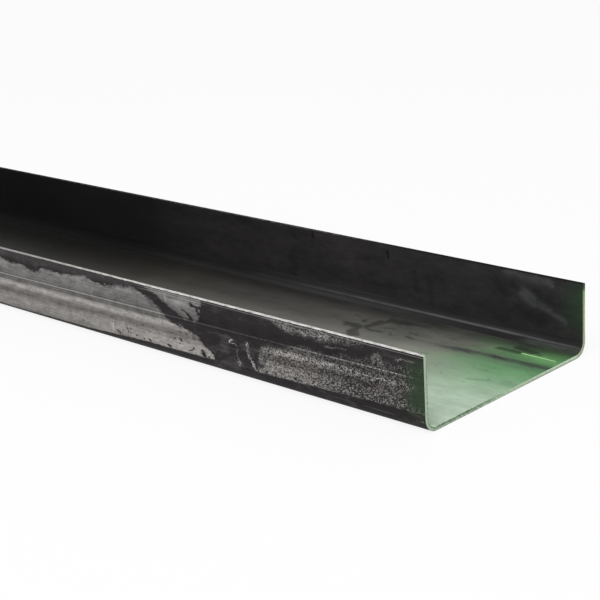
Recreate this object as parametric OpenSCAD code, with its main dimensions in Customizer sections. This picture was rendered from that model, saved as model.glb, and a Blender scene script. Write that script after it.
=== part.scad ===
// Cold-formed steel C channel, plain stock: one strip of sheet bent twice into
// a web and two equal flanges. It lies on its web with the flanges up.
// X runs along the stock, Y across the web and Z up; the origin is the middle
// of the web's underside. All sizes are in millimetres.

/* [Section] */
// Width across the web, over the outsides of both flanges
web_w = 200; // [100:5:300]
// Height of each flange, from the web's underside to the flange's tip
flange_h = 60; // [35:1:100]
// Thickness of the sheet
sheet_t = 3; // [1.5:0.5:5]
// Radius on the inside of each bend
inside_bend_r = 9; // [4:0.5:14]

/* [Stock] */
// Length that the stock is cut to
stock_l = 2000; // [500:100:6000]

/* [Slit edges] */
// Radius left on the edges of the slit strip, which are the flange tips
slit_edge_r = 0.5; // [0.2:0.1:0.7]

/* [Hidden] */
$fn = 96;
outside_bend_r = inside_bend_r + sheet_t;
bend_centre_y = web_w / 2 - outside_bend_r;
bend_centre_z = outside_bend_r;

// Cross-section in the plane of Y and Z, drawn with Z as the page's vertical

// One bend, the quarter ring that joins the web to the flange on the +Y side
module bend_section() {
    translate([bend_centre_y, bend_centre_z])
        intersection() {
            difference() {
                circle(r = outside_bend_r);
                circle(r = inside_bend_r);
            }
            translate([0, -outside_bend_r])
                square([outside_bend_r, outside_bend_r]);
        }
}

// The flange above the bend, up to where its tip starts to round off
module flange_section() {
    flat_top = flange_h - slit_edge_r;
    translate([web_w / 2 - sheet_t, bend_centre_z])
        square([sheet_t, flat_top - bend_centre_z]);
}

// The flange's tip, a slit edge with both of its corners eased
module tip_section() {
    tip_centre_z = flange_h - slit_edge_r;
    for (tip_y = [web_w / 2 - sheet_t + slit_edge_r, web_w / 2 - slit_edge_r])
        translate([tip_y, tip_centre_z])
            intersection() {
                circle(r = slit_edge_r);
                translate([-slit_edge_r, 0])
                    square([2 * slit_edge_r, slit_edge_r]);
            }
    translate([web_w / 2 - sheet_t + slit_edge_r, tip_centre_z])
        square([sheet_t - 2 * slit_edge_r, slit_edge_r]);
}

// Everything on the +Y side of the web
module side_section() {
    bend_section();
    flange_section();
    tip_section();
}

// The web between its two bends
module web_section() {
    translate([-bend_centre_y, 0])
        square([2 * bend_centre_y, sheet_t]);
}

module channel_section() {
    web_section();
    side_section();
    mirror([1, 0])
        side_section();
}

// The stock, its section run along X and cut square at both ends
module c_channel() {
    color("#2b2c2d")
        translate([-stock_l / 2, 0, 0])
            rotate([90, 0, 90])
                linear_extrude(height = stock_l)
                    channel_section();
}

c_channel();
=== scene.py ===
import math

import bpy
import numpy as np
from mathutils import Matrix, Vector


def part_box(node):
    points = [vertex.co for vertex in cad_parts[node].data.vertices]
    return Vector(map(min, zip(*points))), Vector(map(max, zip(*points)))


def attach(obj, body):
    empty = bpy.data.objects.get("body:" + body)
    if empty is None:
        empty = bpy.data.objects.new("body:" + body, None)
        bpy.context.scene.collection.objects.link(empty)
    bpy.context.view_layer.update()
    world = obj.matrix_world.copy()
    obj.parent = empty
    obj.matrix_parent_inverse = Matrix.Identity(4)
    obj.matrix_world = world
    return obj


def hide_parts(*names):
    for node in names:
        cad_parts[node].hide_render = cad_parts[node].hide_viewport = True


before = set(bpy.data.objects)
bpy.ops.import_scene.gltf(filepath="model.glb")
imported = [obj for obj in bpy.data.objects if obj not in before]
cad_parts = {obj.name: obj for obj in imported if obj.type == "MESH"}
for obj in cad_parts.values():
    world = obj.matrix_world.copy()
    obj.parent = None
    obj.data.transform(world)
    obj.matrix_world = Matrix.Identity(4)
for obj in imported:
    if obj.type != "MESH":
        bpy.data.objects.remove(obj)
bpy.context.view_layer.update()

# The stock's sizes in metres: the overall ones come from the frame
low_corner, high_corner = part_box("c_channel")
LENGTH = high_corner[0] - low_corner[0]
WIDTH = high_corner[1] - low_corner[1]
HEIGHT = high_corner[2] - low_corner[2]
END_X = high_corner[0]
SHEET = 0.003
BEND_R = 0.009
OUTER_R = BEND_R + SHEET
SLIT_R = 0.0005
CUT_EASE = 0.0003

# Mesh steps
BEND_STEPS = 20
SLIT_STEPS = 5
FLAT_STEP = 0.008
GUARD = 0.0008
RING_STEP = 0.010

# Materials measure in millimetres: s along the stock from the painted end, y across it, z up
MM = 1000
END_MM = END_X * MM
# How far colour ramps along the stock reach
STOCK_REACH = 2000
SLIT_REACH = 1000
# Faces that meet at more than this stay sharp
SHARP_DEGREES = 35


# Section


def arc(cy, cz, radius, start, stop, steps):
    """Points (y, z) of an arc, with both its ends, for angles in degrees."""
    angles = np.radians(np.linspace(start, stop, steps + 1))
    return [(cy + radius * math.cos(a), cz + radius * math.sin(a)) for a in angles]


def flat(start, stop):
    """Points of a straight run, with a guard point beside each end that keeps its shading flat."""
    a, b = Vector(start), Vector(stop)
    long = (b - a).length
    guard = GUARD / long
    steps = max(1, round(long / FLAT_STEP))
    shares = [0, guard, *np.linspace(guard, 1 - guard, steps + 1)[1:-1], 1 - guard, 1]
    return [tuple(a.lerp(b, t)) for t in shares]


def section_runs():
    """The closed outline as (surface name, points) runs, anticlockwise seen from the painted end."""
    edge, bend = WIDTH / 2, WIDTH / 2 - OUTER_R
    tip = HEIGHT - SLIT_R
    inside = edge - SHEET
    near_tip = arc(-inside - SLIT_R, tip, SLIT_R, 0, 90, SLIT_STEPS)
    near_tip += arc(-edge + SLIT_R, tip, SLIT_R, 90, 180, SLIT_STEPS)
    far_tip = arc(edge - SLIT_R, tip, SLIT_R, 0, 90, SLIT_STEPS)
    far_tip += arc(inside + SLIT_R, tip, SLIT_R, 90, 180, SLIT_STEPS)
    return [
        ("near_outside", flat((-edge, tip), (-edge, OUTER_R))),
        ("near_outside", arc(-bend, OUTER_R, OUTER_R, 180, 270, BEND_STEPS)),
        ("underside", flat((-bend, 0), (bend, 0))),
        ("far_outside", arc(bend, OUTER_R, OUTER_R, 270, 360, BEND_STEPS)),
        ("far_outside", flat((edge, OUTER_R), (edge, tip))),
        ("slit_edge", far_tip),
        ("far_inside", flat((inside, tip), (inside, OUTER_R))),
        ("bend_inside", arc(bend, OUTER_R, BEND_R, 0, -90, BEND_STEPS)),
        ("web_inside", flat((bend, SHEET), (-bend, SHEET))),
        ("bend_inside", arc(-bend, OUTER_R, BEND_R, 270, 180, BEND_STEPS)),
        ("near_inside", flat((-inside, OUTER_R), (-inside, tip))),
        ("slit_edge", near_tip),
    ]


def inset(points, depth):
    """The closed outline moved inwards by depth."""
    p = np.array(points)
    along = np.roll(p, -1, axis=0) - np.roll(p, 1, axis=0)
    along /= np.linalg.norm(along, axis=1)[:, None]
    return p + depth * np.stack([-along[:, 1], along[:, 0]], axis=1)


def outline():
    """The outline's points, the surface of each of its steps, and how many points lie outside."""
    points, surfaces = [], []
    outer_count = 0
    for name, run in section_runs():
        if points and np.allclose(points[-1], run[0]):
            points.pop()
            surfaces.pop()
        points += run
        surfaces += [name] * len(run)
        if name == "slit_edge" and not outer_count:
            outer_count = len(points) - len(run) + 1
    if np.allclose(points[-1], points[0]):
        points.pop()
        surfaces.pop()
    return points, surfaces, outer_count


def cap_faces(base, count, outer_count, tip_count, turn):
    """A cut end's faces: a ladder from the outside to the inside, and one face for each flange tip."""
    inner_start = outer_count + tip_count
    faces = []
    for i in range(outer_count - 1):
        a, b = i, i + 1
        c, d = (inner_start + outer_count - 1 - k for k in (b, a))
        faces.append([a, b, c, d])
    faces.append(list(range(outer_count - 1, inner_start + 1)))
    faces.append([*range(inner_start + outer_count - 1, count), 0])
    return [[base + v for v in (face[::-1] if turn else face)] for face in faces]


def channel_mesh():
    """The stock as rings of the section, with eased edges at both cut ends."""
    points, surfaces, outer_count = outline()
    count = len(points)
    tip_count = 2 * SLIT_STEPS
    full, eased = np.array(points), inset(points, CUT_EASE)
    inner_x = END_X - CUT_EASE
    stations = np.linspace(-inner_x, inner_x, round(LENGTH / RING_STEP) + 1)
    rings = [(-END_X, eased), *((x, full) for x in stations), (END_X, eased)]
    verts = [(x, y, z) for x, ring in rings for y, z in ring]
    faces, slots = [], []
    for r in range(len(rings) - 1):
        at_cut = r in (0, len(rings) - 2)
        for i in range(count):
            j = (i + 1) % count
            faces.append([r * count + i, r * count + j, (r + 1) * count + j, (r + 1) * count + i])
            slots.append("cut_end" if at_cut else surfaces[i])
    for base, turn in ((0, True), ((len(rings) - 1) * count, False)):
        cap = cap_faces(base, count, outer_count, tip_count, turn)
        faces += cap
        slots += ["cut_end"] * len(cap)
    depth = np.zeros(count)
    inside_from = outer_count + tip_count // 2
    depth[inside_from:inside_from + outer_count + tip_count] = 1
    return verts, faces, slots, np.tile(depth, len(rings))


# Node trees


def colour(red, green, blue):
    """A displayed colour, 0 to 255, as the linear colour that a node takes."""
    def linear(c):
        c /= 255
        return c / 12.92 if c <= 0.04045 else ((c + 0.055) / 1.055) ** 2.4
    return (linear(red), linear(green), linear(blue), 1)


def grey(level, warm=0):
    """A displayed grey, a little red and yellow where warm is over 0."""
    return colour(level + warm, level, level - warm)


class Graph:
    """One material's nodes. Each method adds what it needs and returns an output socket."""

    def __init__(self, name):
        self.material = bpy.data.materials.new(name)
        self.material.use_nodes = True
        self.tree = self.material.node_tree
        self.tree.nodes.clear()
        at = self.add("ShaderNodeTexCoord").outputs["Object"]
        self.x, self.y, self.z = self.split(self.vector("SCALE", at, scale=MM))
        self.s = self.math("SUBTRACT", END_MM, self.x)

    def add(self, kind, **settings):
        node = self.tree.nodes.new(kind)
        for name, value in settings.items():
            setattr(node, name, value)
        return node

    def put(self, socket, value):
        if isinstance(value, bpy.types.NodeSocket):
            self.tree.links.new(value, socket)
        else:
            socket.default_value = value

    def math(self, operation, *values):
        node = self.add("ShaderNodeMath", operation=operation)
        for socket, value in zip(node.inputs, values):
            self.put(socket, value)
        return node.outputs[0]

    def times(self, a, b):
        return self.math("MULTIPLY", a, b)

    def plus(self, a, b):
        return self.math("ADD", a, b)

    def shift(self, base, value, by):
        """base, moved by the share by of value."""
        return self.math("MULTIPLY_ADD", value, by, base)

    def less(self, value):
        """What value leaves of 1."""
        return self.math("SUBTRACT", 1.0, value)

    def off(self, value, place):
        """How far value is from place."""
        return self.math("ABSOLUTE", self.math("SUBTRACT", value, place))

    def share(self, value):
        """value held between 0 and 1."""
        node = self.add("ShaderNodeClamp")
        self.put(node.inputs[0], value)
        return node.outputs[0]

    def vector(self, operation, a, b=None, scale=None):
        node = self.add("ShaderNodeVectorMath", operation=operation)
        self.put(node.inputs[0], a)
        if b is not None:
            self.put(node.inputs[1], b)
        if scale is not None:
            self.put(node.inputs["Scale"], scale)
        return node.outputs["Value" if operation in ("DOT_PRODUCT", "LENGTH", "DISTANCE") else "Vector"]

    def split(self, vector):
        node = self.add("ShaderNodeSeparateXYZ")
        self.put(node.inputs[0], vector)
        return node.outputs

    def join(self, x, y, z=0.0):
        node = self.add("ShaderNodeCombineXYZ")
        for socket, value in zip(node.inputs, (x, y, z)):
            self.put(socket, value)
        return node.outputs[0]

    def smooth(self, value, start, stop, low=0.0, high=1.0):
        """low at start, high at stop, and a smooth step between. start may be the greater."""
        node = self.add("ShaderNodeMapRange", interpolation_type="SMOOTHSTEP", clamp=False)
        if start > stop:
            start, stop, low, high = stop, start, high, low
        for socket, number in zip(node.inputs, (value, start, stop, low, high)):
            self.put(socket, number)
        return node.outputs[0]

    def mix(self, share, a, b, blend="MIX"):
        node = self.add("ShaderNodeMix", data_type="RGBA", blend_type=blend)
        for index, value in ((0, share), (6, a), (7, b)):
            self.put(node.inputs[index], value)
        return node.outputs[2]

    def lit(self, tint, light):
        """tint times the number light."""
        return self.mix(1.0, tint, self.join(light, light, light), "MULTIPLY")

    def between(self, share, a, b):
        """The number a where share is 0 and b where it is 1."""
        node = self.add("ShaderNodeMix", data_type="FLOAT")
        for index, value in ((0, share), (2, a), (3, b)):
            self.put(node.inputs[index], value)
        return node.outputs[0]

    def noise(self, along, across, seed, long, wide, detail=3.0, rough=0.55, distortion=0.0):
        """Noise from 0 to 1 whose blobs are long by wide millimetres."""
        at = self.join(self.math("DIVIDE", along, long), self.math("DIVIDE", across, wide), seed)
        node = self.add("ShaderNodeTexNoise", noise_dimensions="3D")
        self.put(node.inputs["Vector"], at)
        self.put(node.inputs["Scale"], 1.0)
        self.put(node.inputs["Detail"], detail)
        self.put(node.inputs["Roughness"], rough)
        self.put(node.inputs["Distortion"], distortion)
        return node.outputs["Fac"]

    def sway(self, *shape):
        """The same noise from about -0.5 to 0.5."""
        return self.math("SUBTRACT", self.noise(*shape), 0.5)

    def voronoi(self, along, across, long, wide):
        """Cells of long by wide millimetres: the distance from a cell's centre, and its number from 0 to 1."""
        node = self.add("ShaderNodeTexVoronoi", voronoi_dimensions="2D", feature="F1")
        at = self.join(self.math("DIVIDE", along, long), self.math("DIVIDE", across, wide))
        self.put(node.inputs["Vector"], at)
        self.put(node.inputs["Scale"], 1.0)
        parts = self.add("ShaderNodeSeparateColor")
        self.put(parts.inputs[0], node.outputs["Color"])
        return node.outputs["Distance"], parts.outputs[0]

    def cells(self, along, across, long, wide):
        """A number from 0 to 1 for each of many small cells, long by wide millimetres."""
        return self.voronoi(along, across, long, wide)[1]

    def spots(self, along, across, long, wide, biggest):
        """1 in round spots of mixed sizes, one to each cell of long by wide millimetres."""
        distance, number = self.voronoi(along, across, long, wide)
        size = self.times(self.math("POWER", number, 3.0), biggest)
        return self.smooth(self.math("SUBTRACT", distance, size), 0.04, -0.04)

    def curve(self, value, points, reach, top):
        """A broken line through given points (value, result), for values from 0 to reach."""
        node = self.add("ShaderNodeFloatCurve")
        line = node.mapping.curves[0]
        ordered = sorted(points)
        while len(line.points) < len(ordered):
            line.points.new(0.5, 0.5)
        for spot, (a, b) in zip(line.points, ordered):
            spot.location = (a / reach, b / top)
            spot.handle_type = "VECTOR"
        node.mapping.update()
        self.put(node.inputs["Value"], self.share(self.math("DIVIDE", value, reach)))
        return self.math("MULTIPLY", node.outputs[0], top)

    def ramp(self, value, stops, reach, smooth=True):
        """A colour that follows stops (value, colour) for values from 0 to reach."""
        node = self.add("ShaderNodeValToRGB")
        band = node.color_ramp
        band.interpolation = "EASE" if smooth else "LINEAR"
        while len(band.elements) < len(stops):
            band.elements.new(0.5)
        for element, (at, tint) in zip(band.elements, sorted(stops, key=lambda stop: stop[0])):
            element.position = at / reach
            element.color = tint
        self.put(node.inputs[0], self.math("DIVIDE", value, reach))
        return node.outputs[0]

    def stroke(self, at, start, stop, half_width, soft):
        """1 within half_width of the line from start to stop, fading over soft at its edge."""
        a, b = Vector((*start, 0)), Vector((*stop, 0))
        along = b - a
        away = self.vector("SUBTRACT", at, a)
        share = self.share(self.vector("DOT_PRODUCT", away, along / along.length_squared))
        foot = self.vector("SCALE", along, scale=share)
        gap = self.vector("LENGTH", self.vector("SUBTRACT", away, foot))
        return self.smooth(gap, half_width + soft, half_width - soft)

    def strokes(self, at, lines, soft):
        """The union of strokes (start, stop, half width)."""
        union = None
        for start, stop, half_width in lines:
            one = self.stroke(at, start, stop, half_width, soft)
            union = one if union is None else self.math("MAXIMUM", union, one)
        return union

    def finish(self, tint, roughness, height, specular, bump=0.3, depth=0.0002):
        """The surface: a Principled shader, with a bump from height, which is 0 to 1 for depth metres."""
        shader = self.add("ShaderNodeBsdfPrincipled")
        self.put(shader.inputs["Base Color"], tint)
        self.put(shader.inputs["Roughness"], roughness)
        shader.inputs["Specular IOR Level"].default_value = specular
        relief = self.add("ShaderNodeBump")
        relief.inputs["Strength"].default_value = bump
        relief.inputs["Distance"].default_value = depth
        self.put(relief.inputs["Height"], height)
        self.put(shader.inputs["Normal"], relief.outputs[0])
        out = self.add("ShaderNodeOutputMaterial")
        self.tree.links.new(shader.outputs[0], out.inputs[0])
        return self.material


# Finish of the near flange's outside. The outlines are (s, z) in millimetres, and every line on the
# sheet runs a little off the flange's edge, by SKEW, as far as SKEW_REACH.

SKEW = 0.0115
SKEW_REACH = 480
# The drawn outlines reach this far along, and a free pattern goes on from there
PATTERN_END = 508
OUTLINE_REACH = 540
OUTLINE_TOP = 62
FLANGE_TOP = 60

# Heights: the bending die's line, a dull band that the rolls left, and lines under the slit edge
DIE_LINE = 41.7
DULL_BAND = 28.5
RIM_LINE = 58.1
SECOND_RIM_LINE = 56.2
# On the bend: where its dark scale ends, and a faint lighter line
BEND_SHADE = 14.0
BEND_LINE = 9.0
# The rubbed steel turns rough from the first to the second of these places
ROUGH_FROM, ROUGH_TO = 225, 155
# Middle of a stretch with upright scour marks
SCOURED = 333

# Below this line the scale is rubbed to grey
RUBBED_BELOW = (
    (0, 50), (20, 49.5), (30, 49), (37, 49.5), (41, 52.5), (45, 54.5), (50, 50.5), (54, 47), (60, 46),
    (70, 45), (78, 45), (88, 42), (93, 40.8), (98, 41.8), (104, 42.8), (116, 42.7), (124, 42), (129, 40.5),
    (134, 38.3), (147, 36.5), (155, 36), (158, 35), (161, 34), (164, 30), (166, 25), (167.5, 20),
    (168.5, 0), (213, 0), (217, 13), (221, 17.5), (226, 20), (229, 22), (233, 26), (240, 28.5), (246, 30),
    (251, 32), (264, 32.5), (270, 35), (275, 40), (281, 44), (290, 48.3), (300, 52), (307, 53.7),
    (314, 55.5), (319, 53.5), (333, 53), (341, 51), (352, 50.5), (364, 51), (370, 53.2), (377, 53.5),
    (388, 51.5), (402, 51.7), (408, 49.5), (419, 50.5), (426, 50), (434, 51), (439, 47.5), (446, 45.5),
    (457, 46.5), (463, 49.5), (480, 48.5), (494, 51), (540, 50),
)
# Above this line it is rubbed too
RUBBED_ABOVE = (
    (0, 62), (40, 61), (45, 58.5), (60, 55.5), (70, 54), (84, 53), (98, 50.2), (104, 51), (110, 51.3),
    (114, 50.8), (118, 52.4), (122, 51.6), (134, 50.6), (140, 52.4), (147, 55.5), (160, 59), (163, 62),
    (228, 62), (230, 46), (233, 40.5), (236, 39), (239, 40), (241, 41.5), (244, 40.5), (246.5, 38.6),
    (250, 39.5), (258, 43), (266, 46), (272, 50), (280, 52.5), (290, 56), (298, 59), (303, 62), (540, 62),
)
# Strokes from one place to another, each with half its width
# Grey scratches and grazes in the dark scale
GRAZES = (
    ((198, 30.5), (194, 32.5), 0.7), ((195, 29.5), (190, 28.6), 0.3), ((189.5, 26), (189, 17), 0.2),
    ((188.5, 16), (187, 12.5), 0.7), ((178.5, 34), (177, 25), 0.6), ((177, 25), (173.5, 18), 0.7),
    ((173.5, 18), (169, 12.5), 0.9), ((94, 47.5), (73, 50), 0.15), ((26, 51), (20, 53.5), 0.5),
    ((20, 53.5), (9, 53), 0.2), ((3.4, 10), (3, 8.8), 0.3),
)
# Dark notches left in the rubbed parts
NOTCHES = (
    ((251, 46.8), (248, 45.8), 1.0), ((246, 45), (241, 40), 1.1), ((241, 53), (229, 51.5), 1.5),
    ((233.5, 49.5), (229.5, 45), 1.3), ((230, 15), (228, 13), 2.4), ((334, 12), (332, 10), 1.4),
    ((295.5, 12.5), (293.5, 11.5), 1.3), ((272, 12.4), (269, 12), 1.3), ((172, 16.5), (162, 17.5), 1.5),
    ((382, 12.3), (381, 12.3), 0.9), ((257, 16.8), (256, 16.6), 0.7), ((338.5, 20), (338, 12), 0.3),
    ((322.5, 18), (322, 11.5), 0.6), ((244.5, 12.8), (239.5, 16.5), 0.8), ((170, 12), (166.5, 18), 1.3),
)
# Light marks across the rubbed steel
SCUFFS = (((280.5, 46), (279.5, 29), 0.5), ((342.5, 21), (340.5, 12), 1.5), ((271, 57), (270.5, 51), 1.0))


def rubbed_tone(g, height):
    """The rubbed steel's grey by its height on the flange: bands that the rolls left along the strip."""
    stops = (
        (0, grey(104, 3)), (14, grey(128, 3)), (21, grey(128, 3)), (24.5, grey(118, 3)), (27, grey(100, 3)),
        (30, grey(109, 3)), (32, grey(136, 3)), (34.2, grey(152, 3)), (36.3, grey(136, 3)),
        (38, grey(94, 2)), (42.2, grey(90, 2)), (44.5, grey(105, 2)), (50, grey(112, 2)),
        (56, grey(132, 2)), (59, grey(114, 2)),
    )
    return g.ramp(height, stops, FLANGE_TOP)


def torn(g, s, t, seed):
    """Two offsets in millimetres that make a drawn outline look torn."""
    fine = g.sway(s, t, seed, 2.6, 2.0, 4, 0.75)
    lumps = g.sway(s, t, seed + 2, 7, 3.2, 4, 0.6)
    wide = g.sway(s, t, seed + 4, 14, 9, 3, 0.6)
    return (
        g.shift(g.times(fine, 12.0), wide, 6.0),
        g.shift(g.times(fine, 2.6), lumps, 6.0),
    )


def rubbed_share(g, rs, rz):
    """How far the scale is rubbed off the near flange, from the drawn outlines at torn coordinates."""
    below = g.math("SUBTRACT", g.curve(rs, RUBBED_BELOW, OUTLINE_REACH, OUTLINE_TOP), rz)
    above = g.math("SUBTRACT", rz, g.curve(rs, RUBBED_ABOVE, OUTLINE_REACH, OUTLINE_TOP))
    inside = g.math("MAXIMUM", below, above)
    wavy = g.shift(inside, g.sway(g.s, g.z, 7.0, 4.2, 1.7, 4, 0.75), 8.0)
    drawn = g.smooth(g.times(wavy, g.smooth(g.s, 190, 165, 1.0, 0.4)), -0.9, 1.1)
    thin = g.smooth(g.shift(inside, g.sway(g.s, g.z, 8.0, 9.0, 3.2, 5, 0.75), 22.0), -3.5, 4.5)
    drawn = g.times(drawn, g.shift(0.5, thin, 0.5))
    free = g.shift(g.noise(g.s, g.z, 3.0, 260, 28, 4, 0.55, 0.3), g.sway(g.s, g.z, 5.0, 9, 4, 5, 0.7), 0.16)
    free = g.smooth(free, 0.45, 0.52)
    share = g.between(g.smooth(g.s, PATTERN_END, PATTERN_END + 20), drawn, free)
    return g.times(share, g.less(g.strokes(g.join(rs, rz), NOTCHES, 0.6)))


class NearFlange(Graph):
    """The near flange's graph, with the values that several steps of its finish need."""

    def __init__(self):
        super().__init__("near_outside")
        s, z = self.s, self.z
        reach = self.math("MINIMUM", self.math("MAXIMUM", s, 0.0), SKEW_REACH)
        self.height = self.shift(z, reach, SKEW)
        self.off_s, self.off_z = torn(self, s, z, 1.0)
        self.rs, self.rz = self.plus(s, self.off_s), self.plus(z, self.off_z)
        self.area = rubbed_share(self, self.rs, self.rz)
        self.area = self.times(self.area, self.above_bend())
        self.pitted = self.times(self.smooth(s, 430, 290), self.smooth(self.height, 38, 20))
        self.rubbed = self.with_pits(self.area)
        self.grain = self.cells(s, z, 0.9, 0.76)
        self.rough = self.smooth(s, ROUGH_FROM, ROUGH_TO)
        self.rubbed = self.times(self.rubbed, self.high_spots())
        thin = self.smooth(self.noise(s, z, 9.0, 1.6, 1.6, 2, 0.7), 0.3, 0.5, 0.4, 0.95)
        self.grazes = self.times(self.strokes(self.join(self.rs, self.rz), GRAZES, 0.5), thin)
        self.rubbed = self.math("MAXIMUM", self.rubbed, self.grazes)

    def above_bend(self):
        """1 above the bend, which keeps its dark scale, higher up near the painted end."""
        s = self.s
        edge = self.plus(self.shift(self.height, self.off_z, 0.4), self.smooth(s, 290, 390, 0.0, 2.6))
        rise = self.plus(self.smooth(s, 40, 120, -1.4, 0.0), self.smooth(s, 130, 150, 0.0, 0.5))
        return self.smooth(self.plus(edge, rise), BEND_SHADE - 0.7, BEND_SHADE + 0.6)

    def with_pits(self, rubbed):
        """The rubbed share without the dark pits low on the flange."""
        along, across = self.shift(self.s, self.off_s, 0.3), self.shift(self.z, self.off_z, 0.3)
        pits = self.spots(along, across, 8, 5, 0.28)
        return self.times(rubbed, self.less(self.times(self.times(self.pitted, pits), 0.9)))

    def high_spots(self):
        """Only the grain's high spots in a rough stretch, so that it looks speckled."""
        s, z = self.s, self.z
        worn = self.times(self.rough, self.smooth(s, 122, 60))
        bare = self.shift(-0.3, self.rough, 0.77)
        bare = self.shift(bare, worn, 0.27)
        bare = self.shift(bare, self.sway(s, z, 12.0, 11, 5, 4, 0.65), self.between(self.rough, 0.2, 0.6))
        peak = self.stroke(self.join(self.rs, self.rz), (44, 51), (37, 42), 3.5, 3.0)
        bare = self.shift(bare, peak, -0.22)
        low = self.stroke(self.join(self.rs, self.rz), (158, 18), (108, 17), 3.5, 3.0)
        bare = self.shift(bare, low, -0.12)
        return self.smooth(self.math("SUBTRACT", self.grain, bare), -0.42, 0.42)


def rubbed_steel(g):
    """The rubbed steel's colour, with drag marks, cloudy smears, and the scour marks of one stretch."""
    s, z, rough = g.s, g.z, g.rough
    scoured = g.times(g.smooth(g.off(s, SCOURED), 22, 8), g.smooth(z, 27, 20))
    coarse = g.times(g.pitted, g.smooth(s, 330, 270))
    light = g.shift(g.between(rough, 1.0, 1.12), g.math("SUBTRACT", g.grain, 0.5), 0.15)
    low_glow = g.times(g.smooth(z, 22, 16), g.smooth(s, 400, 350))
    glow = g.times(g.shift(g.times(coarse, 0.14), low_glow, 0.2), g.less(rough))
    light = g.shift(light, glow, 1.0)
    light = g.shift(light, g.times(rough, g.smooth(g.off(z, DULL_BAND), 4, 1.5)), -0.2)
    light = g.shift(light, g.sway(s, z, 16.0, 3.2, 1.8, 4, 0.8), g.between(coarse, 0.6, 2.9))
    light = g.shift(light, g.grazes, 0.4)
    light = g.shift(light, g.sway(s, z, 13.0, 50, 1.1, 4, 0.65), 1.0)
    light = g.shift(light, g.sway(s, z, 17.0, 13, 6, 6, 0.7), 1.9)
    light = g.shift(light, g.times(g.sway(s, z, 15.0, 2.0, 15, 2), scoured), 1.8)
    dulled = g.times(g.smooth(g.shift(s, g.off_s, 1.0), 367, 363), g.smooth(g.height, 40, 44))
    light = g.shift(light, dulled, -0.1)
    scuffed = g.times(g.strokes(g.join(g.shift(s, g.off_s, 0.4), z), SCUFFS, 0.6), g.area)
    light = g.shift(light, scuffed, 0.4)
    return g.lit(rubbed_tone(g, g.height), light)


def near_scale(g):
    """The near flange's dark scale, calm in its upper part and cloudy in one stretch."""
    s, z = g.s, g.z
    stops = ((0.3, colour(29, 27, 28)), (0.5, colour(41, 38, 39)), (0.7, colour(69, 66, 67)))
    cloud = g.times(g.times(g.smooth(s, 230, 195), g.smooth(s, 160, 185)), g.smooth(z, 38, 33))
    calm = g.times(g.smooth(z, 34, 42), g.smooth(s, 260, 235))
    mottle = g.times(g.sway(s, z, 19.0, 22, 8, 6, 0.74), g.between(calm, 1.0, 0.7))
    base = g.shift(g.shift(0.5, cloud, 0.085), g.times(calm, g.smooth(z, 44, 53, -0.09, 0.03)), 1.0)
    tone = g.ramp(g.shift(base, mottle, 1.0), stops, 1)
    # Darker towards the bottom of the bend, where it turns to the floor: painted shade
    return g.lit(tone, g.smooth(z, 1, 9, 0.45, 1.0))


def near_lines(g, tint):
    """Lines along the near flange, over tint."""
    s, z = g.s, g.z
    # The bending die's line is bright where the scale is rubbed
    line = g.smooth(g.off(g.height, DIE_LINE), 0.75, 0.15)
    faint = g.noise(s, z, 31.0, 2.2, 4, 2, 0.7)
    line = g.times(line, g.smooth(faint, 0.4, 0.56, g.between(g.rough, 0.7, 0.1), 1.0))
    tint = g.mix(g.times(line, g.between(g.area, 0.12, 0.62)), tint, grey(176, 2))

    line = g.smooth(g.off(z, BEND_LINE), 0.9, 0.2)
    line = g.times(line, g.smooth(g.noise(s, z, 33.0, 20, 6, 3, 0.6), 0.35, 0.6))
    tint = g.mix(g.times(line, g.smooth(s, 120, 80, 0.0, 0.2)), tint, grey(120))

    # Two rubbed lines under the slit edge, and a dark one close to it
    rim = g.smooth(g.off(z, RIM_LINE), 0.5, 0.1)
    tint = g.mix(g.times(rim, g.smooth(s, 330, 280, 0.0, 0.4)), tint, grey(150, 2))
    rim = g.smooth(g.off(z, SECOND_RIM_LINE), 0.6, 0.1)
    rim = g.times(rim, g.times(g.smooth(s, 310, 290), g.smooth(s, 215, 240)))
    tint = g.mix(g.times(rim, 0.3), tint, grey(180, 2))
    return g.mix(g.smooth(z, 58.7, 59.1, 0.0, 0.8), tint, grey(30))


def near_outside():
    """The near flange's outside, with its bend."""
    g = NearFlange()
    s, z = g.s, g.z
    steel = rubbed_steel(g)
    tint = g.mix(g.rubbed, near_scale(g), steel)
    haze = g.times(g.smooth(z, 51, 56), g.smooth(s, 290, 340))
    tint = g.mix(g.times(haze, g.between(g.area, 0.07, 0.0)), tint, grey(150, 2))
    tint = near_lines(g, tint)

    # The paint mark
    paint = g.smooth(g.shift(s, g.off_s, 1.6), 24, 8)
    middle = g.times(g.smooth(z, 9, 22), g.smooth(z, 59, 42))
    paint = g.times(paint, g.between(middle, 0.2, 0.92))
    green = g.mix(g.noise(s, z, 23.0, 6, 7, 5, 0.7), colour(33, 41, 32), colour(54, 74, 53))
    tint = g.mix(paint, tint, green)
    relief = g.noise(s, z, 21.0, 1.3, 1.1, 2, 0.7)
    return g.finish(tint, 0.5, relief, 0.04)


# Finish of the web's inside, with outlines as (s, y) in millimetres

WEB_WIDE = 200
WEB_HALF = 100.0
# A bare streak that the spray missed, at this y by the painted end, with its slope along the stock
STREAK_Y = 52
STREAK_SLOPE = 0.06
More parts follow.
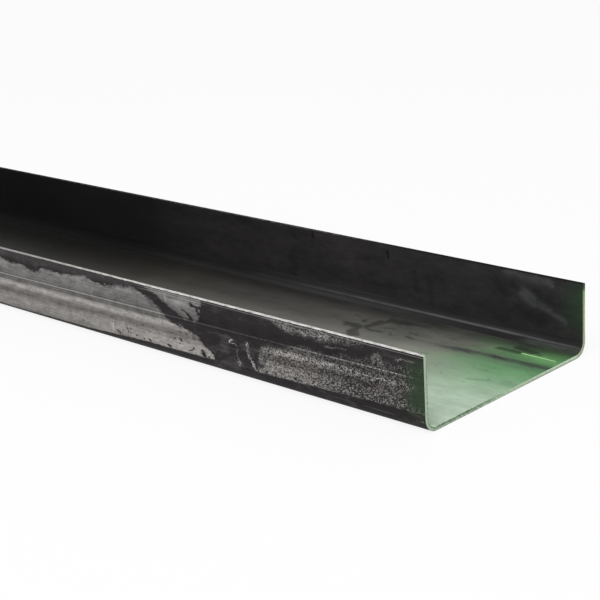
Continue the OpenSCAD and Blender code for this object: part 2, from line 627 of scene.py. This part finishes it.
# Strokes from one place to another, each with half its width
# Dark smudges
BLOTS = (
    ((213, 65), (203, 62), 0.6), ((196, 57.5), (194, 55.5), 2.6), ((176, 71), (158, 72), 4.6),
    ((176, 67), (163, 68), 3.0), ((177, 66), (183, 58), 4.6), ((182, 58), (184, 47), 4.2),
    ((207, 45), (190, 44.5), 2.8), ((202, 42), (190, 42), 3.6), ((189.5, 42), (187, 34), 3.6),
    ((187, 31), (180, 25), 5.4), ((183, 44.5), (176, 41.5), 1.6), ((176, 41.5), (164, 43.5), 1.8),
    ((168, 52), (162, 55), 0.7), ((162, 55), (157, 54), 0.7), ((144, 55.5), (135, 54.5), 0.9),
    ((141, 53.5), (138, 47), 0.6), ((138, 45.5), (131, 43.5), 1.8), ((157, 46), (153, 41), 0.7),
    ((222, 51), (216, 46), 0.6), ((158, 72), (138, 74), 1.4), ((184, 79.5), (182, 79.5), 1.0),
    ((36, -3), (22, 4), 0.7), ((12, -24), (10, -25), 0.7),
)
# Bare patches in the paint beside the far bend
MISSED = (
    ((48, 77), (32, 74), 4.6), ((32, 74), (24, 72.5), 1.4), ((60, 67), (41, 68), 3.2),
    ((52, 88), (34, 89), 2.4),
)


def web_scale(g, ragged):
    """The web's dark scale with smudges: lighter towards the painted end and the near flange, partly dust and
    partly painted light, and darker towards the far bend with painted shade.
    """
    s, y = g.s, g.y
    # Lighter towards the painted end and darkest about 0.7 m from it: partly dust, partly painted light and
    # shade
    stops = (
        (0, colour(116, 117, 110)), (105, colour(104, 104, 97)), (150, colour(86, 86, 81)),
        (200, colour(81, 80, 76)), (260, colour(71, 69, 66)), (340, colour(60, 58, 55)),
        (420, colour(50, 48, 44)), (480, colour(33, 31, 27)), (540, colour(21, 20, 16)),
        (620, colour(12, 11, 8)), (720, colour(8, 7, 5)), (1100, colour(22, 21, 19)),
        (2000, colour(27, 26, 25)),
    )
    tone = g.ramp(s, stops, STOCK_REACH)
    mottle = g.sway(s, y, 41.0, 24, 8, 6, 0.66)
    # Lighter towards the near flange, partly dust and partly a painted sheen; darker towards the far bend,
    # painted shade
    dust_and_sheen = g.times(g.smooth(y, 48, 22, 0.0, 0.75), g.smooth(s, 640, 420, 0.3, 1.0))
    light = g.plus(dust_and_sheen, g.smooth(y, 84, 58, 0.55, 1.0))
    light = g.shift(light, g.times(g.smooth(s, 200, 150), g.smooth(y, 46, 58)), -0.1)
    light = g.shift(light, mottle, 0.9)
    light = g.shift(light, g.sway(s, y, 43.0, 140, 2.2, 3, 0.6), 0.25)
    light = g.shift(light, g.sway(s, y, 47.0, 1.6, 1.2, 2, 0.7), 0.3)
    tint = g.lit(tone, light)
    at = g.join(g.shift(s, ragged, 12.0), g.shift(y, ragged, 9.0))
    blots = g.shift(g.strokes(at, BLOTS, 2.6), g.sway(s, y, 39.0, 8, 4, 6, 0.75), 1.7)
    uneven = g.smooth(g.noise(s, y, 45.0, 5, 3, 4, 0.7), 0.25, 0.65, 0.5, 0.8)
    tint = g.mix(g.times(g.smooth(blots, 0.1, 0.95), uneven), tint, colour(37, 37, 36))
    hair = g.smooth(g.math("ABSOLUTE", g.sway(s, y, 33.0, 34, 26, 3, 0.6)), 0.008, 0.002)
    hair = g.times(hair, g.smooth(g.noise(s, y, 35.0, 30, 20, 2), 0.5, 0.62, 0.0, 0.4))
    return g.mix(hair, tint, grey(30)), mottle


def missed_streak(g, wander, at):
    """How bare the long streak is that the spray missed, ragged and thicker in one stretch."""
    s, y = g.s, g.y
    streak_y = g.shift(g.shift(y, s, STREAK_SLOPE), wander, 6.0)
    streak_y = g.shift(streak_y, g.sway(s, y, 65.0, 11, 5, 5, 0.7), 9.0)
    bare = g.smooth(g.off(streak_y, STREAK_Y), 5.8, 1.7)
    bare = g.times(bare, g.times(g.smooth(s, 120, 74), g.smooth(s, 0, 60, 0.8, 1.0)))
    thick = g.stroke(at, (84, 48), (60, 48.6), 1.4, 3.0)
    bare = g.math("MAXIMUM", bare, g.times(thick, 0.9))
    return g.times(bare, g.smooth(g.noise(s, y, 59.0, 26, 8, 4, 0.7), 0.3, 0.6, 0.45, 1.0))


def web_paint(g, wander, tint):
    """The paint mark over tint: pale near the near flange and greener towards the far one, partly a painted
    reflection.
    """
    s, y = g.s, g.y
    across = g.shift(y, wander, 12.0)
    # The paint's tone across the web, paler towards the near flange partly as a painted reflection
    stops = (
        (0, colour(186, 204, 186)), (50, colour(176, 198, 176)), (76, colour(160, 184, 160)),
        (92, colour(146, 176, 146)), (106, colour(126, 163, 128)), (120, colour(108, 152, 110)),
        (132, colour(98, 146, 100)), (142, colour(86, 126, 88)), (158, colour(84, 130, 84)),
        (166, colour(104, 156, 100)), (174, colour(86, 128, 82)), (184, colour(60, 82, 56)),
        (200, colour(46, 62, 44)),
    )
    green = g.ramp(g.plus(across, WEB_HALF), stops, WEB_WIDE, smooth=False)
    light = g.shift(1.0, g.sway(s, y, 53.0, 30, 11, 6, 0.7), 1.0)
    green = g.lit(green, light)
    reach = g.times(g.shift(s, wander, 50.0), g.smooth(y, 30, 62, 1.0, 1.3))
    coat = g.smooth(reach, 135, 22)
    coat = g.times(coat, g.smooth(g.noise(s, y, 55.0, 16, 9, 5, 0.7), 0.25, 0.5, 0.72, 0.96))
    tint = g.mix(coat, tint, green)

    at = g.join(g.shift(s, wander, 12.0), g.shift(y, wander, 8.0))
    tint = g.mix(g.times(missed_streak(g, wander, at), 0.92), tint, colour(57, 49, 58))
    tint = g.mix(g.times(g.strokes(at, MISSED, 2.8), 0.8), tint, colour(42, 48, 42))
    smear = g.stroke(at, (40, -1), (22, 5), 1.4, 2.4)
    tint = g.mix(g.times(smear, 0.55), tint, colour(84, 122, 88))
    run = g.stroke(g.join(s, y), (38, 67.6), (6.5, 67.6), 0.5, 0.4)
    return g.mix(run, tint, colour(196, 246, 164))


def web_inside():
    """The web's inside, with the sprayed paint mark."""
    g = Graph("web_inside")
    s, y = g.s, g.y
    ragged = g.sway(s, y, 31.0, 7, 5, 5, 0.7)
    wander = g.sway(s, y, 37.0, 45, 18, 3, 0.6)
    tint, mottle = web_scale(g, ragged)
    tint = web_paint(g, wander, tint)

    # Small dark specks, and painted shade towards the far bend
    specks = g.smooth(g.noise(s, y, 57.0, 2.2, 1.5, 1, 0.6), 0.7, 0.78)
    tint = g.mix(g.times(specks, 0.4), tint, grey(50))
    dots = g.spots(s, y, 13, 9, 0.1)
    tint = g.mix(g.times(dots, 0.6), tint, colour(62, 76, 62))
    shade = g.times(g.smooth(g.shift(y, wander, 14.0), 64, 90, 0.0, 0.45), g.smooth(s, 20, 60, 0.35, 1.0))
    tint = g.mix(shade, tint, grey(34))

    # A bare dark line along the cut edge, broken where paint covers it
    edge = g.times(g.smooth(g.shift(s, ragged, 3.0), 1.5, 0.5), g.smooth(y, -5, -50))
    broken = g.smooth(g.noise(s, y, 61.0, 6, 5, 3), 0.42, 0.52)
    tint = g.mix(g.times(g.times(edge, broken), 0.85), tint, colour(66, 88, 70))

    return g.finish(tint, g.shift(0.4, mottle, 0.2), mottle, 0.18)


# Finish of the inside bends and of the far flange's inside, with outlines as (s, z) in millimetres

# Height of the painted highlight line in the far bend
HIGHLIGHT_LINE = 6.1
# Strokes from one place to another, each with half its width: greyer wipes, dark stains and nicks
WIPES = (((57, 42), (47, 37), 5.0), ((47, 37), (18, 26), 2.4), ((74, 57), (30, 54.5), 2.6))
STAINS = (
    ((88, 50), (74, 38), 3.0), ((60, 28), (40, 22), 4.0), ((44, 44), (30, 38), 2.5),
    ((316, 34), (318, 10), 4.0), ((172, 42), (170, 26), 2.0), ((156, 36), (152, 14), 1.5),
    ((66, 47), (60, 45), 1.0),
)
NICKS = (((290, 57), (289.5, 53.5), 1.4), ((201, 54), (200.5, 49), 1.6))


def bend_inside():
    """Both inside bends: dark scale, with a painted highlight line in the far one."""
    g = Graph("bend_inside")
    s, z = g.s, g.z
    mottle = g.noise(s, z, 63.0, 34, 3, 5, 0.66)
    # Lighter near the painted end and darkest from about 0.56 m to 1.1 m: partly the scale's tone, partly
    # painted shade
    stops = (
        (0, grey(42)), (150, grey(42)), (250, grey(44)), (420, grey(30)), (560, grey(17)), (1100, grey(17)),
        (2000, grey(22)),
    )
    tone = g.ramp(s, stops, STOCK_REACH)
    brighter = g.times(g.plus(g.smooth(z, 8.5, 12), g.smooth(z, 6, 3.2)), g.smooth(s, 60, 260))
    light = g.shift(g.shift(0.5, mottle, 1.0), brighter, 0.6)
    tint = g.lit(tone, light)

    # The painted highlight line, with a fainter painted glow above it and its fading towards both ends
    rise = g.math("SUBTRACT", z, HIGHLIGHT_LINE)
    fading = g.times(g.smooth(s, 400, 50), g.smooth(s, 0, 70, 0.5, 1.0))
    fading = g.times(fading, g.smooth(mottle, 0.3, 0.6, 0.45, 1.0))
    highlight_halo = g.times(g.smooth(rise, 3.6, 0.4), g.smooth(rise, -0.9, -0.3))
    tint = g.mix(g.times(g.times(highlight_halo, fading), 0.65), tint, colour(64, 63, 67))
    # The line's bright core, a painted highlight
    worn = g.smooth(g.off(rise, 0.15), 0.95, 0.25)
    tint = g.mix(g.times(worn, fading), tint, colour(92, 91, 94))

    # Paint: a haze low in the far bend, and the near bend's end, pale partly as a painted reflection
    haze = g.times(g.smooth(s, 62, 42), g.times(g.smooth(z, 5.4, 4.9), g.smooth(g.y, -10, 10)))
    tint = g.mix(g.times(haze, g.smooth(mottle, 0.3, 0.6, 0.5, 1.0)), tint, colour(66, 71, 65))
    near = g.times(g.smooth(s, 130, 20), g.smooth(g.y, 10, -10))
    tint = g.mix(near, tint, colour(196, 223, 196))
    return g.finish(tint, 0.6, mottle, 0.02)


def far_inside():
    """The far flange's inside: dark scale with a few greyer wipes, and paint at its end."""
    g = Graph("far_inside")
    s, z = g.s, g.z
    ragged = g.sway(s, z, 67.0, 14, 9, 5, 0.66)
    # Lighter near the painted end and darkest about 0.7 m from it: partly the scale's tone, partly painted
    # shade
    stops = (
        (0, colour(39, 38, 39)), (200, colour(45, 43, 44)), (400, colour(38, 36, 37)),
        (550, colour(17, 15, 16)), (720, colour(4, 3, 3)), (1100, grey(13)), (2000, grey(20)),
    )
    light = g.shift(1.0, g.sway(s, z, 71.0, 46, 16, 6, 0.66), 1.9)
    light = g.shift(light, g.sway(s, z, 75.0, 12, 6, 5, 0.7), 1.1)
    tint = g.lit(g.ramp(s, stops, STOCK_REACH), light)
    at = g.join(g.shift(s, ragged, 26.0), g.shift(z, ragged, 16.0))
    cloud = g.smooth(g.noise(s, z, 77.0, 12, 8, 4, 0.65), 0.25, 0.6, 0.3, 0.9)
    tint = g.mix(g.times(g.strokes(at, WIPES, 3.0), cloud), tint, colour(67, 67, 69))
    tint = g.mix(g.times(g.strokes(at, STAINS, 4.0), 0.4), tint, grey(16))
    nicked = g.strokes(g.join(g.shift(s, ragged, 4.0), z), NICKS, 0.9)
    tint = g.mix(g.times(nicked, 0.75), tint, grey(8))
    paint = g.smooth(g.shift(s, ragged, 34.0), 26, -4)
    paint = g.times(paint, g.times(g.smooth(z, 16, 34, 0.04, 0.85), g.smooth(z, 60, 50, 0.5, 1.0)))
    tint = g.mix(paint, tint, colour(40, 60, 42))
    return g.finish(tint, 0.42, g.noise(s, z, 73.0, 1.6, 1.2, 2, 0.7), 0.25)


# Finish of the faces that the photograph doesn't show: the same scale, rubbed in patches


def plain_face(name, across, seed, rub_from, end_paint):
    """Dark scale rubbed to grey in long patches. across names the face's second coordinate."""
    g = Graph(name)
    s, t = g.s, getattr(g, across)
    ragged = g.sway(s, t, seed, 9, 4, 5, 0.7)
    patches = g.shift(g.noise(s, t, seed + 2, 320, 30, 4, 0.55, 0.3), ragged, 0.16)
    rubbed = g.smooth(patches, rub_from, rub_from + 0.09)
    if across == "z":
        rubbed = g.times(rubbed, g.smooth(g.shift(t, ragged, 3.0), 12, 14))
    speckle = g.noise(s, t, seed + 4, 1.6, 1.2, 2, 0.7)
    light = g.shift(1.0, g.math("SUBTRACT", speckle, 0.5), 0.6)
    light = g.shift(light, g.sway(s, t, seed + 6, 80, 1.5, 2), 0.6)
    light = g.shift(light, g.sway(s, t, seed + 8, 26, 10, 5, 0.7), 1.2)
    steel = g.lit(grey(100, 3), light)
    stops = ((0.3, colour(22, 20, 21)), (0.5, colour(36, 33, 34)), (0.7, colour(62, 59, 60)))
    scale_tone = g.ramp(g.noise(s, t, seed + 10, 30, 9, 6, 0.72), stops, 1)
    tint = g.mix(rubbed, scale_tone, steel)
    paint = g.smooth(g.shift(s, ragged, 10.0), end_paint, end_paint * 0.3)
    tint = g.mix(g.times(paint, 0.85), tint, colour(44, 68, 43))
    return g.finish(tint, 0.45, speckle, 0.15)


def slit_edge():
    """The strip's slit edges: the near one bright sheared steel, partly a painted highlight, the far one dark,
    with a fainter painted highlight along part of its length.
    """
    g = Graph("slit_edge")
    dull = g.noise(g.s, g.y, 83.0, 7, 1.2, 4, 0.7)
    # The near edge's brightness is partly a painted highlight, fading along the stock
    stops = ((0, grey(220, 2)), (250, grey(218, 2)), (480, grey(156, 2)), (1000, grey(140, 2)))
    bright = g.ramp(g.s, stops, SLIT_REACH)
    near = g.mix(g.smooth(dull, 0.3, 0.62), grey(120, 2), bright)
    # The far edge is dark, with a painted highlight about 0.3 to 0.5 m from the painted end
    stops = ((0, grey(10)), (160, grey(14)), (300, grey(84, 2)), (520, grey(70, 2)), (900, grey(30)))
    far = g.ramp(g.s, stops, SLIT_REACH)
    far = g.mix(g.smooth(dull, 0.4, 0.62), grey(14), far)
    tint = g.mix(g.smooth(g.y, -10, 10), near, far)
    paint = g.times(g.smooth(g.s, 5, 1), g.smooth(g.y, 10, -10, 0.0, 0.5))
    tint = g.mix(paint, tint, colour(140, 176, 132))
    return g.finish(tint, 0.5, dull, 0.02)


def cut_end():
    """Both cut ends: one under green paint, the other bare saw-cut steel."""
    g = Graph("cut_end")
    y, z = g.y, g.z
    # 0 on the sheet's outside and 1 on its inside
    depth = g.add("ShaderNodeAttribute", attribute_name="depth").outputs["Fac"]
    blotch = g.noise(y, z, 89.0, 3.0, 2.5, 5, 0.7)
    stops = (
        (0, colour(156, 178, 152)), (14, colour(142, 164, 138)), (55, colour(140, 164, 136)),
        (90, colour(166, 188, 160)), (186, colour(196, 216, 188)), (193, colour(158, 170, 142)),
        (200, colour(150, 158, 128)),
    )
    paint = g.ramp(g.plus(y, WEB_HALF), stops, WEB_WIDE, smooth=False)
    lower = g.times(g.smooth(depth, 0.62, 0.34), g.times(g.smooth(y, -20, 40), g.smooth(z, 8, 3)))
    paint = g.mix(g.times(lower, 0.75), paint, colour(122, 138, 118))
    olive = g.times(g.smooth(y, 94, 97), g.smooth(z, 14, 22))
    olive_tone = g.mix(g.smooth(depth, 0.7, 0.3), colour(138, 148, 98), colour(182, 188, 144))
    paint = g.mix(olive, paint, olive_tone)
    paint = g.mix(g.times(olive, g.smooth(z, 40, 50, 0.0, 0.6)), paint, colour(112, 158, 96))
    paint = g.mix(g.times(olive, g.smooth(z, 52, 57)), paint, colour(26, 32, 22))
    light = g.shift(0.62, blotch, 0.76)
    paint = g.lit(paint, light)
    ticks = g.noise(g.plus(y, z), g.math("SUBTRACT", y, z), 93.0, 1.7, 12, 1)
    flat_part = g.times(g.smooth(y, -94, -84), g.smooth(y, 10, -40, 0.25, 1.0))
    light = g.between(flat_part, 1.0, g.smooth(ticks, 0.4, 0.6, 0.66, 1.25))
    paint = g.lit(paint, light)
    rim = g.smooth(g.shift(depth, g.math("SUBTRACT", blotch, 0.5), 0.9), 0.62, 0.8)
    dots = g.smooth(g.noise(y, z, 95.0, 1.5, 1.5, 1), 0.44, 0.54, g.between(flat_part, 0.15, 0.6), 1.0)
    dots = g.times(dots, g.smooth(y, 0, -50, 0.15, 0.85))
    paint = g.mix(g.times(rim, dots), paint, colour(52, 74, 54))
    kerf = g.noise(y, z, 97.0, 0.7, 30, 3)
    steel = g.mix(kerf, grey(96, 3), grey(168, 3))
    tint = g.mix(g.smooth(g.s, 900, 1100), paint, steel)
    return g.finish(tint, 0.45, kerf, 0.4)


# Building the stock


def build_channel():
    verts, faces, slots, depth = channel_mesh()
    mesh = bpy.data.meshes.new("channel")
    mesh.from_pydata(verts, [], faces)
    makers = {
        "near_outside": near_outside,
        "web_inside": web_inside,
        "bend_inside": bend_inside,
        "far_inside": far_inside,
        "near_inside": lambda: plain_face("near_inside", "z", 101.0, 0.64, 60),
        "far_outside": lambda: plain_face("far_outside", "z", 131.0, 0.47, 20),
        "underside": lambda: plain_face("underside", "y", 161.0, 0.5, 10),
        "slit_edge": slit_edge,
        "cut_end": cut_end,
    }
    order = list(makers)
    for make in makers.values():
        mesh.materials.append(make())
    mesh.polygons.foreach_set("material_index", [order.index(name) for name in slots])
    mesh.polygons.foreach_set("use_smooth", [True] * len(faces))
    mesh.attributes.new("depth", "FLOAT", "POINT").data.foreach_set("value", depth)
    mesh.set_sharp_from_angle(angle=math.radians(SHARP_DEGREES))
    mesh.update()
    channel = bpy.data.objects.new("channel", mesh)
    bpy.context.scene.collection.objects.link(channel)
    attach(channel, "root")
    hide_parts("c_channel")


build_channel()

# Studio

FLOOR_SIZE = 40
FLOOR_DROP = 0.0001
FLOOR_WHITE = 0.88
FLOOR_GREY = 0.82
WORLD_LEVEL = 0.72
KEY_PLACE = (END_X + 0.6, -1.8, 2.6)
KEY_TARGET = (0.4, 0, 0)
KEY_SIZE = 2.2
KEY_POWER = 55


def seen_directly(tree):
    """1 for rays that show the background: from the camera, or in a reflection or through glass."""
    path = tree.nodes.new("ShaderNodeLightPath")
    total = path.outputs["Is Camera Ray"]
    for name in ("Is Glossy Ray", "Is Transmission Ray"):
        joined = tree.nodes.new("ShaderNodeMath")
        joined.operation = "MAXIMUM"
        tree.links.new(total, joined.inputs[0])
        tree.links.new(path.outputs[name], joined.inputs[1])
        total = joined.outputs[0]
    return total


def build_floor():
    mesh = bpy.data.meshes.new("floor")
    half = FLOOR_SIZE / 2
    corners = ((-half, -half), (half, -half), (half, half), (-half, half))
    mesh.from_pydata([(x, y, low_corner[2] - FLOOR_DROP) for x, y in corners], [], [(0, 1, 2, 3)])
    floor = bpy.data.objects.new("floor", mesh)
    bpy.context.scene.collection.objects.link(floor)
    material = bpy.data.materials.new("floor")
    material.use_nodes = True
    tree = material.node_tree
    tree.nodes.clear()
    matt = tree.nodes.new("ShaderNodeBsdfDiffuse")
    matt.inputs["Color"].default_value = (FLOOR_GREY, FLOOR_GREY, FLOOR_GREY, 1)
    white = tree.nodes.new("ShaderNodeEmission")
    white.inputs["Color"].default_value = (1, 1, 1, 1)
    share = tree.nodes.new("ShaderNodeMath")
    share.operation = "MULTIPLY"
    share.inputs[1].default_value = FLOOR_WHITE
    tree.links.new(seen_directly(tree), share.inputs[0])
    mixed = tree.nodes.new("ShaderNodeMixShader")
    tree.links.new(share.outputs[0], mixed.inputs[0])
    tree.links.new(matt.outputs[0], mixed.inputs[1])
    tree.links.new(white.outputs[0], mixed.inputs[2])
    out = tree.nodes.new("ShaderNodeOutputMaterial")
    tree.links.new(mixed.outputs[0], out.inputs[0])
    mesh.materials.append(material)


def build_world():
    world = bpy.data.worlds.new("studio")
    bpy.context.scene.world = world
    world.use_nodes = True
    tree = world.node_tree
    tree.nodes.clear()
    level = tree.nodes.new("ShaderNodeMapRange")
    tree.links.new(seen_directly(tree), level.inputs["Value"])
    level.inputs["To Min"].default_value = WORLD_LEVEL
    level.inputs["To Max"].default_value = 1.0
    background = tree.nodes.new("ShaderNodeBackground")
    background.inputs["Color"].default_value = (1, 1, 1, 1)
    tree.links.new(level.outputs[0], background.inputs["Strength"])
    out = tree.nodes.new("ShaderNodeOutputWorld")
    tree.links.new(background.outputs[0], out.inputs[0])


def soft_lamp(name, place, target, size, power):
    data = bpy.data.lights.new(name, "AREA")
    data.shape = "DISK"
    data.size = size
    data.energy = power
    lamp = bpy.data.objects.new(name, data)
    lamp.location = place
    lamp.rotation_euler = (Vector(target) - Vector(place)).to_track_quat("-Z", "Y").to_euler()
    bpy.context.scene.collection.objects.link(lamp)


# Camera: it looks at the painted end from its right, as the photograph does

AZIMUTH = 44.4987
ELEVATION = 18.1497
ROLL = -3.4295
FOCAL_PX = 1562.39
IMAGE_PX = 600
SENSOR_MM = 36
# The painted end's foot as the camera sees it: right, up and away, in metres
END_RIGHT, END_UP, END_AWAY = 0.15822, -0.06986, 1.17454


def build_camera():
    a, e, roll = (math.radians(v) for v in (AZIMUTH, ELEVATION, ROLL))
    back = Vector((math.sin(a) * math.cos(e), -math.cos(a) * math.cos(e), math.sin(e)))
    level_right = Vector((0, 0, 1)).cross(back).normalized()
    level_up = back.cross(level_right)
    right = level_right * math.cos(roll) + level_up * math.sin(roll)
    up = level_up * math.cos(roll) - level_right * math.sin(roll)
    foot = Vector((END_X, 0, 0))
    place = foot - right * END_RIGHT - up * END_UP + back * END_AWAY
    data = bpy.data.cameras.new("camera")
    data.sensor_width = SENSOR_MM
    data.lens = FOCAL_PX / IMAGE_PX * SENSOR_MM
    data.clip_start, data.clip_end = 0.05, 100
    camera = bpy.data.objects.new("camera", data)
    turn = Matrix((right, up, back)).transposed().to_4x4()
    camera.matrix_world = Matrix.Translation(place) @ turn
    bpy.context.scene.collection.objects.link(camera)
    bpy.context.scene.camera = camera


build_floor()
build_world()
soft_lamp("key", KEY_PLACE, KEY_TARGET, KEY_SIZE, KEY_POWER)
build_camera()
bpy.context.scene.view_settings.view_transform = "Standard"
